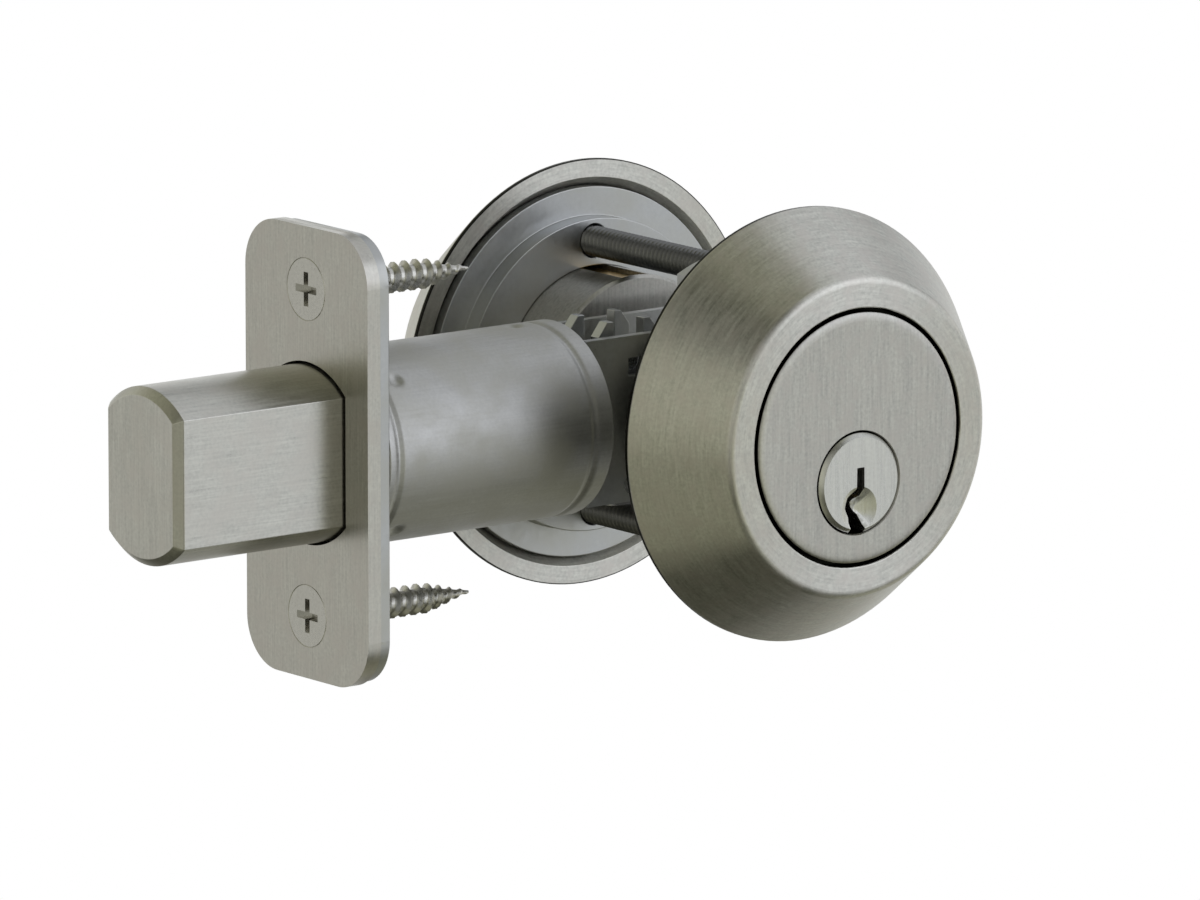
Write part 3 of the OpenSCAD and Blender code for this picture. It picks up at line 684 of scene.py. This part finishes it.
def detent_leaf():
    """Leaf spring with a pressed rib across its middle and rounded corners."""
    low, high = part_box("detent_spring")
    length, width = high.x - low.x, high.y - low.y
    corner, rib_w, rib_h = 2.0 * MM, 5.0 * MM, 0.3 * MM
    rib_flat_w, rib_flat_l, rib_l = 0.5 * rib_w, 0.6 * width, 0.8 * width
    bm = bmesh.new()
    columns = steps(0.0, length, 0.5 * MM)
    rows = 16
    rings = []
    for x in columns:
        short = max(0.0, corner - min(x, length - x))
        half = width / 2 - corner + math.sqrt(corner ** 2 - short ** 2)
        rib = rib_h * (1 - ramp(abs(x - length / 2), rib_flat_w / 2, rib_w / 2))
        top, under = [], []
        for i in range(rows + 1):
            y = half * (2 * i / rows - 1)
            lift = rib * (1 - ramp(abs(y), rib_flat_l / 2, rib_l / 2))
            top.append(bm.verts.new((low.x + x, mid_y + y, high.z + lift)))
            under.append(bm.verts.new((low.x + x, mid_y + y, low.z + lift)))
        rings.append(under + list(reversed(top)))
    skin(bm, rings)
    bmesh.ops.recalc_face_normals(bm, faces=bm.faces)
    take_place("detent_leaf", finished(bm, "detent_leaf"), spring_wire, "detent_spring")


mounting_screws()
faceplate_screws()
bolt_tube()
pin_springs("outside_pin_springs")
pin_springs("inside_pin_springs")
detent_leaf()


# ---------- studio ----------

WHITE = (1.0, 1.0, 1.0, 1.0)
FLOOR_HALF = 30.0
FLOOR_DROP = 0.4


def floor_plane():
    """White floor well below the lock. Its underside is clear, so the lock shows from below."""
    mesh = bpy.data.meshes.new("floor")
    half = FLOOR_HALF
    height = cad_low.z - FLOOR_DROP
    mesh.from_pydata([(-half, -half, height), (half, -half, height), (half, half, height),
                      (-half, half, height)], [], [(0, 1, 2, 3)])
    obj = bpy.data.objects.new("floor", mesh)
    bpy.context.scene.collection.objects.link(obj)
    material = bpy.data.materials.new("floor_white")
    tree = Tree(material)
    glow = tree.add("ShaderNodeEmission")
    glow.inputs["Color"].default_value = WHITE
    clear = tree.add("ShaderNodeBsdfTransparent")
    side = tree.add("ShaderNodeNewGeometry")
    choose = tree.add("ShaderNodeMixShader")
    tree.put(choose.inputs[0], side.outputs["Backfacing"])
    tree.put(choose.inputs[1], glow.outputs[0])
    tree.put(choose.inputs[2], clear.outputs[0])
    output = tree.add("ShaderNodeOutputMaterial")
    tree.put(output.inputs[0], choose.outputs[0])
    mesh.materials.append(material)
    obj.visible_glossy = False
    obj.visible_diffuse = False
    obj.visible_shadow = False


# Each soft box is (direction, brightness, tint, size). A size is the angle at which the box
# starts to fade and the angle at which it ends, in degrees from its middle.
COOL = (0.96, 0.99, 1.05)
PLAIN = (1.0, 1.0, 0.96)
WARM = (1.0, 1.0, 0.72)
SMALL = (5, 28)
LARGE = (12, 46)
SOFTBOXES = [
    ((0.6, -0.75, 0.3), 1.05, COOL, SMALL),
    ((0.6, -0.8, -0.2), 0.55, COOL, SMALL),
    ((1.0, -0.15, -0.15), 0.65, PLAIN, SMALL),
    ((0.9, -0.3, 0.4), 0.5, COOL, SMALL),
    ((0.15, -0.95, -0.25), 0.4, WARM, SMALL),
    ((0.2, -0.9, 0.35), 0.35, COOL, SMALL),
    ((0.45, -0.45, 0.75), 0.55, COOL, SMALL),
    ((0.6, 0.15, 0.8), 0.6, COOL, SMALL),
    ((0.8, 0.55, 0.05), 0.55, COOL, LARGE),
    ((0.65, 0.6, -0.5), 0.25, PLAIN, LARGE),
    ((0.75, -0.1, -0.65), 0.25, WARM, SMALL),
    ((-0.7, -0.15, -0.7), 0.25, WARM, SMALL),
    ((-0.95, -0.25, 0.1), 0.25, WARM, LARGE),
    ((0.05, -0.05, 1.0), 0.2, WARM, SMALL),
    ((-0.6, -0.75, 0.3), 0.3, PLAIN, LARGE),
    ((-0.65, 0.75, -0.1), 0.45, PLAIN, LARGE),
    ((0.15, 1.0, 0.1), 0.45, PLAIN, LARGE),
    ((-0.35, 0.6, 0.7), 0.25, WARM, LARGE),
]
AMBIENT = 0.07


def tinted(brightness, tint):
    """A colour of one brightness in a tint."""
    return tuple(brightness * part for part in tint)


def studio_world():
    """Soft boxes round the lock. The camera itself sees plain white beyond the floor."""
    world = bpy.data.worlds.new("studio")
    bpy.context.scene.world = world
    tree = Tree(world)
    direction = tree.add("ShaderNodeTexCoord").outputs["Generated"]
    total = tree.join(*tinted(AMBIENT, WARM))
    for aim, brightness, tint, (inner, outer) in SOFTBOXES:
        unit = Vector(aim).normalized()
        facing = tree.vector("DOT_PRODUCT", direction, tuple(unit))
        light = tree.spread(facing, math.cos(math.radians(outer)), math.cos(math.radians(inner)),
                            smooth=True)
        node = tree.add("ShaderNodeVectorMath", operation="SCALE")
        tree.put(node.inputs[0], tinted(brightness, tint))
        tree.put(node.inputs["Scale"], light)
        total = tree.vector("ADD", total, node.outputs[0])
    seen = tree.add("ShaderNodeLightPath").outputs["Is Camera Ray"]
    background = tree.add("ShaderNodeBackground")
    tree.put(background.inputs["Color"], tree.blend(seen, total, WHITE[:3]))
    output = tree.add("ShaderNodeOutputWorld")
    tree.put(output.inputs[0], background.outputs[0])


# The camera looks at the outside trim from its left and a little above. The lens is long.
AZIMUTH = -37.7
ELEVATION = 11.0
LENS = 400.0
SENSOR_WIDTH = 36.0
VIEW_END = 100.0
FRAME_WIDTH = 150.6 * MM
TRIM_RIGHT = 24.92 * MM
TRIM_UP = 3.31 * MM


def long_camera():
    """The camera, aimed so that the outside trim stands right of the middle and above it."""
    turn, lift = math.radians(AZIMUTH), math.radians(ELEVATION)
    right = Vector((math.cos(turn), math.sin(turn), 0))
    back = Vector((math.sin(turn) * math.cos(lift), -math.cos(turn) * math.cos(lift),
                   math.sin(lift)))
    up = back.cross(right)
    camera = bpy.data.cameras.new("camera")
    camera.lens = LENS
    camera.sensor_width = SENSOR_WIDTH
    distance = FRAME_WIDTH * LENS / SENSOR_WIDTH
    camera.clip_end = VIEW_END
    target = -right * TRIM_RIGHT - up * TRIM_UP
    obj = bpy.data.objects.new("camera", camera)
    turned = Matrix((right, up, back)).transposed().to_4x4()
    obj.matrix_world = Matrix.Translation(target + back * distance) @ turned
    bpy.context.scene.collection.objects.link(obj)
    bpy.context.scene.camera = obj


floor_plane()
studio_world()
long_camera()
bpy.context.scene.view_settings.view_transform = "Standard"
